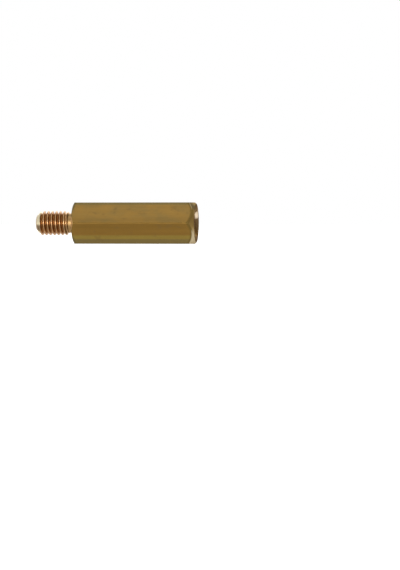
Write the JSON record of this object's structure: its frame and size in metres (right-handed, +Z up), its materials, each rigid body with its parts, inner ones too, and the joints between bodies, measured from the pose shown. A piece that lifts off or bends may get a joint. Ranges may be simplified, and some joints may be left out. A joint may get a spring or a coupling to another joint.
{
  "type": "hex standoff",
  "caption": "Brass hexagonal standoff with a threaded stud at one end and a blind tapped hole at the other.",
  "frame": {"origin": "on the axis, in the plane of the shoulder that the stud stands out of", "axes": "+X along the axis from the shoulder to the open end, so the stud points to -X; +Z up, square to the flat that is uppermost while the part lies on the opposite flat"},
  "size_m": [0.0196, 0.0058, 0.005],
  "materials": {
    "brass": "dull drawn flats, turned ends and cut threads"
  },
  "bodies": {
    "root": {"standoff": "brass"}
  },
  "joints": []
}
